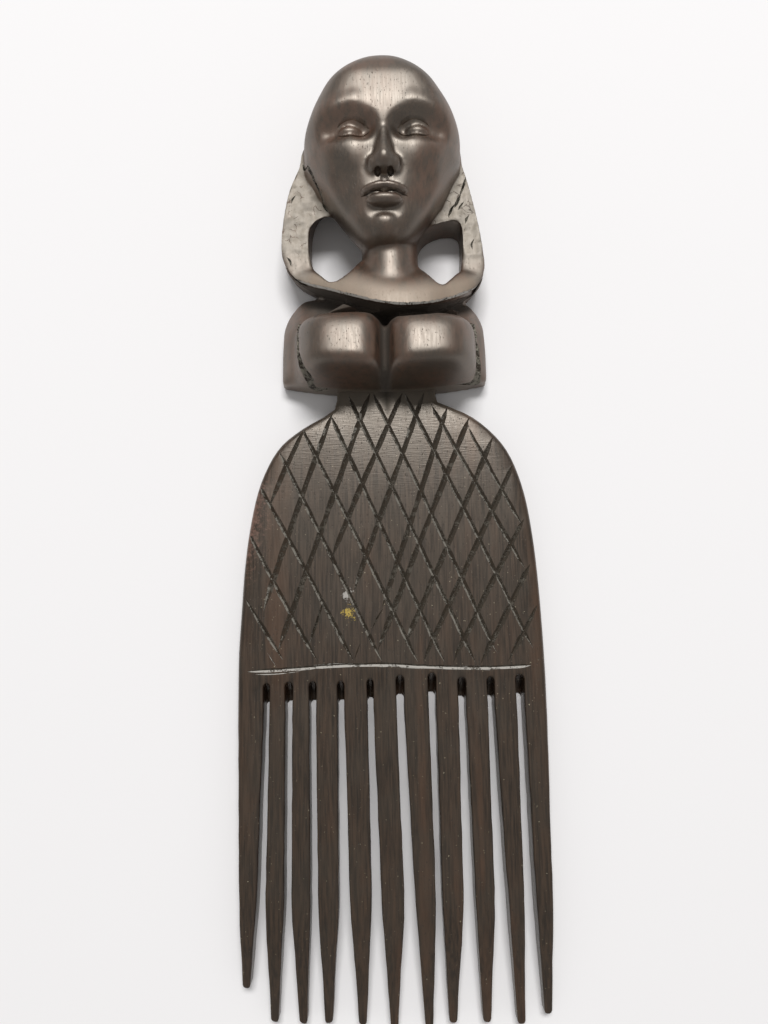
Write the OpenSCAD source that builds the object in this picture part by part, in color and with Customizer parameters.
// Hair comb carved from one block of dark wood, with a bust as its handle.
// X runs across the comb, Y from the tine tips (-) to the crown (+), Z up from its flat back.
// The origin is under the middle of its outer box, in the plane of the back.
// Bust, blade and tines are one block of wood, told apart only where one shape ends and the next begins,
// and they meet face to face.

/* [Blade] */
// Thickness of the blade
blade_t = 6; // [5:0.1:7]
// Half the width of the blade at its widest
blade_half = 36.5; // [36:0.1:38]
// Height above which the straight sides curve in
side_top = -38; // [-44:1:-38]
// Top of the left shoulder
left_shoulder = 30; // [28:0.5:31]
// Top of the right shoulder
right_shoulder = 31.5; // [29:0.5:32]
// Squareness of the shoulders, where 2 is an ellipse
shoulder_power = 2.75; // [2.4:0.05:3.2]

/* [Tines] */
// Height of the inner ends of the slots
slot_end = -37.5; // [-37.5:0.5:-30]
// Height of the knee below which each tine narrows
knee = -88; // [-95:1:-80]
// Width of the blunt tips
tip_w = 1.4; // [1:0.1:2]
// Thickness at the tips
tip_t = 3; // [2:0.1:4]

/* [Carved lines] */
// Depth of the crosshatch cuts
hatch_depth = 0.6; // [0.3:0.1:1]
// Width of the cuts that run down to the right
fine_cut = 0.8; // [0.6:0.1:1.2]
// Width of the cuts that run down to the left
broad_cut = 1.3; // [0.8:0.1:1.6]
// Width of the scored line across the blade
score_w = 0.9; // [0.6:0.1:1.4]

/* [Waist] */
// Half the width of the waist
waist_half = 12.4; // [11:0.1:14]

/* [Bust] */
// Height of the crown
crown = 116; // [114:0.5:118]
// Height of the torso's cut-off lower end
torso_low = 31.5; // [31:0.5:32]
// Front of the forehead above the back
forehead_z = 24; // [22:0.5:26]
// Front of the breasts above the back
breast_z = 22; // [20:0.5:24]
// Front of the hair bands above the back
band_z = 9.5; // [7:0.5:12]
// Highest point of the collar's rim above the back
rim_z = 19; // [16:0.5:20]

/* [Hidden] */
wood = [0.16, 0.12, 0.10];
cut_over = 1;

// Tines from left to right.
// Columns: middle and width at the root, middle and width at the knee, middle and height of the tip.
TINES = [
    [-33.45, 6.1, -33.95, 3.9, -34.5, -106.5],
    [-27.15, 3.7, -27.80, 4.1, -28.1, -114.0],
    [-21.60, 4.0, -21.80, 4.2, -21.6, -114.5],
    [-15.45, 5.1, -15.50, 4.6, -15.8, -114.5],
    [-8.65, 5.5, -8.10, 4.8, -8.1, -115.0],
    [-1.75, 5.5, -0.75, 5.1, -0.9, -116.0],
    [5.65, 5.8, 6.75, 4.6, 7.0, -116.0],
    [12.95, 5.3, 13.00, 4.7, 12.5, -115.0],
    [19.95, 5.1, 20.35, 4.3, 20.2, -115.0],
    [26.70, 5.2, 27.50, 3.6, 28.0, -115.5],
    [33.85, 5.3, 33.95, 3.8, 34.2, -113.5]
];

// Crosshatch cuts. Columns: x and y of the upper end, x and y of the lower end.
CUTS_DOWN_RIGHT = [
    [-34.8, -18, -25.6, -33],
    [-34.4, -1.5, -17.4, -33.5],
    [-31.8, 10, -8.9, -33.5],
    [-26.5, 17.5, -2.2, -33.8],
    [-21.0, 23.5, 6.3, -34],
    [-14.0, 27.0, 12.8, -34.5],
    [-9.6, 32, 20.0, -34.5],
    [-3.3, 32, 25.0, -32],
    [4.5, 32, 34.1, -32],
    [11.0, 29, 33.0, -13],
    [20.0, 23, 32.8, -2.5]
];
CUTS_DOWN_LEFT = [
    [-20.5, 23, -29.3, 3],
    [-13.5, 27, -30.5, -21.5],
    [-4.1, 32, -27.0, -31],
    [4.0, 32, -14.0, -9],
    [9.4, 32, -8.7, -17],
    [15.0, 28, -2.0, -21],
    [20.5, 25.5, -3.2, -31],
    [26.0, 20.2, 3.2, -30],
    [30.9, 13.5, 7.4, -34],
    [33.0, 0, 14.5, -34.3],
    [34.0, -11, 21.0, -34.8],
    [35.2, -21, 27.5, -34.3]
];

// Scored line. Columns: x, y.
SCORE = [[-34.2, -35.5], [-23.5, -35.1], [-13.5, -34.5], [-1, -34.5], [6.5, -35], [20.4, -35.6], [33.4, -35.3]];

// Outline of the bust from the torso's lower end to the widest part of the head. Columns: y, left x, right x.
BUST = [
    [31, -24.0, 23.8],
    [33.5, -24.8, 24.4],
    [41, -25.0, 24.2],
    [48, -24.5, 23.6],
    [53, -21.8, 22.2],
    [56, -20.4, 22.6],
    [59, -22.4, 24.4],
    [63, -24.7, 25.2],
    [67, -25.5, 25.0],
    [75, -25.0, 24.1],
    [83, -23.0, 22.4],
    [88, -20.8, 20.8],
    [92, -20.3, 20.7]
];

// Head. Columns: y, half width, front z.
HEAD = [
    [65, 3, 15],
    [66.5, 5.5, 19],
    [69, 8.4, 20.8],
    [73, 11.6, 21.8],
    [78, 14.8, 22.8],
    [83, 17.6, 23.4],
    [88, 19.6, 23.8],
    [94, 20.2, 24],
    [100, 20.2, 24],
    [106, 20.2, 22],
    [111, 20.2, 17.5],
    [116, 20.2, 8]
];
head_x = 0.3;
head_widest = 90;
head_half = 20.5;

// Features of the face, as soft bumps. Columns: x, y, reach across, reach up and down, height.
FACE = [
    [0, 86, 2.0, 4.4, 2.4],
    [0, 81.2, 2.6, 2.2, 2.6],
    [-2.6, 80.2, 1.4, 1.3, 1.3],
    [2.6, 80.2, 1.4, 1.3, 1.3],
    [-7, 91.2, 4.4, 2.6, -2.4],
    [7, 91.2, 4.4, 2.6, -2.4],
    [-7, 91, 2.8, 1.6, 1.8],
    [7, 91, 2.8, 1.6, 1.8],
    [-7, 95, 5, 1.6, 0.8],
    [7, 95, 5, 1.6, 0.8],
    [0, 76.6, 4.4, 0.9, 1.4],
    [0, 74, 3.6, 1.1, 1.5],
    [0, 69.6, 3.6, 2.2, 1.2]
];

// Holes beside the neck. Columns: x and y of the middle, half width, half height, sideways lean.
HOLES = [
    [-12.3, 69.3, 6.4, 12, -0.07],
    [14.2, 69, 6, 12.6, 0.12]
];

function arch(t, n) = abs(t) >= 1 ? 0 : pow(1 - pow(abs(t), n), 1 / n);
function bump(x, y, b) = b[4] * exp(-pow((x - head_x - b[0]) / b[2], 2) - pow((y - b[1]) / b[3], 2));
function sum(v, i = 0) = i >= len(v) ? 0 : v[i] + sum(v, i + 1);
function column(table, c) = [for (row = table) [row[0], row[c]]];

// Outline of one shoulder of the blade, from its top to the side, where side is -1 or 1.
function shoulder(top, side) = [
    for (a = [5 : 5 : 85]) [
        side * blade_half * pow(sin(a), 2 / shoulder_power),
        side_top + (top - side_top) * pow(cos(a), 2 / shoulder_power)
    ]
];
function outward(pts) = [for (p = pts) if (abs(p[0]) > waist_half) p];
function reversed(pts) = [for (i = [len(pts) - 1 : -1 : 0]) pts[i]];

// Height at which the curve of a shoulder meets the waist.
function waist_y(top) =
    side_top + (top - side_top) * pow(1 - pow(waist_half / blade_half, shoulder_power), 1 / shoulder_power);

module blade_outline() {
    left = outward(shoulder(left_shoulder, -1));
    right = outward(shoulder(right_shoulder, 1));
    polygon(concat(
        [
            [waist_half, waist_y(right_shoulder)],
            [waist_half, torso_low],
            [-waist_half, torso_low],
            [-waist_half, waist_y(left_shoulder)]
        ],
        left,
        [[-blade_half, slot_end], [blade_half, slot_end]],
        reversed(right)
    ));
}

module v_cut(from, to, w, depth) {
    run = to - from;
    translate([from[0], from[1], blade_t])
        rotate([0, 0, atan2(run[1], run[0])])
            rotate([90, 0, 90])
                linear_extrude(norm(run))
                    polygon([[-w, depth], [0, -depth], [w, depth]]);
}

module carved_lines() {
    for (c = CUTS_DOWN_RIGHT) v_cut([c[0], c[1]], [c[2], c[3]], fine_cut, hatch_depth);
    for (c = CUTS_DOWN_LEFT) v_cut([c[0], c[1]], [c[2], c[3]], broad_cut, hatch_depth);
    for (i = [0 : len(SCORE) - 2]) v_cut(SCORE[i], SCORE[i + 1], score_w, hatch_depth);
}

module blade() {
    color(wood)
        difference() {
            linear_extrude(blade_t) blade_outline();
            carved_lines();
        }
}

module tine_outline(t) {
    polygon([
        [t[0] - t[1] / 2, slot_end],
        [t[2] - t[3] / 2, knee],
        [t[4] - tip_w / 2, t[5]],
        [t[4] + tip_w / 2, t[5]],
        [t[2] + t[3] / 2, knee],
        [t[0] + t[1] / 2, slot_end]
    ]);
}

// Side view of the tines, whose faces fall towards the tips from the knee on.
module tine_profile() {
    lowest = min([for (t = TINES) t[5]]);
    polygon([[lowest, 0], [lowest, tip_t], [knee, blade_t], [slot_end, blade_t], [slot_end, 0]]);
}

module tine(t) {
    color(wood)
        intersection() {
            linear_extrude(blade_t) tine_outline(t);
            rotate([90, 0, 90])
                translate([0, 0, -blade_half - cut_over])
                    linear_extrude(2 * (blade_half + cut_over)) tine_profile();
        }
}

// Outline of the bust at height y, as its left and right x.
function dome(y) = head_half * sqrt(max(0, 1 - pow((y - head_widest) / (crown - head_widest), 2)));
function left_x(y) = y > head_widest ? head_x - dome(y) : lookup(y, column(BUST, 1));
function right_x(y) = y > head_widest ? head_x + dome(y) : lookup(y, column(BUST, 2));

// Front of each carved region, as z over x and y.
function head_front(x, y) =
    y < HEAD[0][0] ? 0 :
    lookup(y, column(HEAD, 2)) * arch((x - head_x) / min(lookup(y, column(HEAD, 1)), dome(max(y, head_widest)) + 0.3), 2.5)
    + (abs(x - head_x) < 12 ? sum([for (b = FACE) bump(x, y, b)]) : 0);
function rim_y(x) = 49.3 + 0.018 * pow(x - 3, 2);
function collar_front(x, y) =
    let (rim = rim_z - 0.016 * pow(x - 1, 2), past = y - rim_y(x))
    past >= 0 ? rim - 0.55 * past : rim + 2.5 * past;
function neck_front(x, y) = y < 50 || y > 70 ? 0 : 8 + 7 * arch((x - 1.5) / 7.4, 2);
function chest_front(x, y) =
    y > 54 ? 0 :
    8 + (breast_z - 8) * arch((y - 41.5) / 11.5, 2.3)
    - 3 * exp(-pow((x + 0.5) / 2, 2))
    - 2.5 * exp(-pow((abs(x + 0.2) - 20.4) / 1.1, 2))
    - (abs(x) > 20.4 ? 2 + 0.35 * pow(abs(x) - 20.4, 2) : 0);
function band_front(x, y) =
    let (edge = min(x - left_x(y), right_x(y) - x))
    band_z - 3.5 * pow(1 - min(1, edge / 3), 2);
function bust_front(x, y) = max(
    head_front(x, y), collar_front(x, y), neck_front(x, y), chest_front(x, y), band_front(x, y)
);

// The bust's mass: a skin of rows across it, closed by a flat back.
rows = 62;
across = 38;
module bust_mass() {
    ys = [for (j = [0 : rows]) torso_low + (crown - 0.15 - torso_low) * sin(90 * pow(j / rows, 0.92)) * 0.25
        + (crown - 0.15 - torso_low) * (j / rows) * 0.75];
    front = [for (y = ys) for (i = [0 : across])
        let (x = left_x(y) + (right_x(y) - left_x(y)) * i / across) [x, y, bust_front(x, y)]];
    back = [for (y = ys) each [[left_x(y), y, 0], [right_x(y), y, 0]]];
    n = across + 1;
    base = len(front);
    polyhedron(
        points = concat(front, back),
        faces = concat(
            [for (j = [0 : rows - 1]) for (i = [0 : across - 1])
                each [
                    [j * n + i, (j + 1) * n + i, (j + 1) * n + i + 1],
                    [j * n + i, (j + 1) * n + i + 1, j * n + i + 1]
                ]],
            [for (j = [0 : rows - 1])
                each [
                    [base + 2 * j, base + 2 * j + 1, base + 2 * j + 3],
                    [base + 2 * j, base + 2 * j + 3, base + 2 * j + 2],
                    [base + 2 * j, base + 2 * j + 2, (j + 1) * n],
                    [base + 2 * j, (j + 1) * n, j * n],
                    [base + 2 * j + 1, j * n + across, (j + 1) * n + across],
                    [base + 2 * j + 1, (j + 1) * n + across, base + 2 * j + 3]
                ]],
            [concat([base + 1, base], [for (i = [0 : across]) i])],
            [concat([base + 2 * rows, base + 2 * rows + 1], [for (i = [across : -1 : 0]) rows * n + i])]
        )
    );
}

module neck_hole(h) {
    translate([0, 0, -cut_over])
        linear_extrude(forehead_z + 2 * cut_over)
            polygon([for (a = [0 : 15 : 345])
                [h[0] + h[2] * cos(a) + h[4] * h[3] * sin(a), h[1] + h[3] * sin(a)]]);
}

module bust() {
    color(wood)
        difference() {
            bust_mass();
            for (h = HOLES) neck_hole(h);
        }
}

bust();
blade();
for (i = [1 : len(TINES)]) tine(TINES[i - 1]);
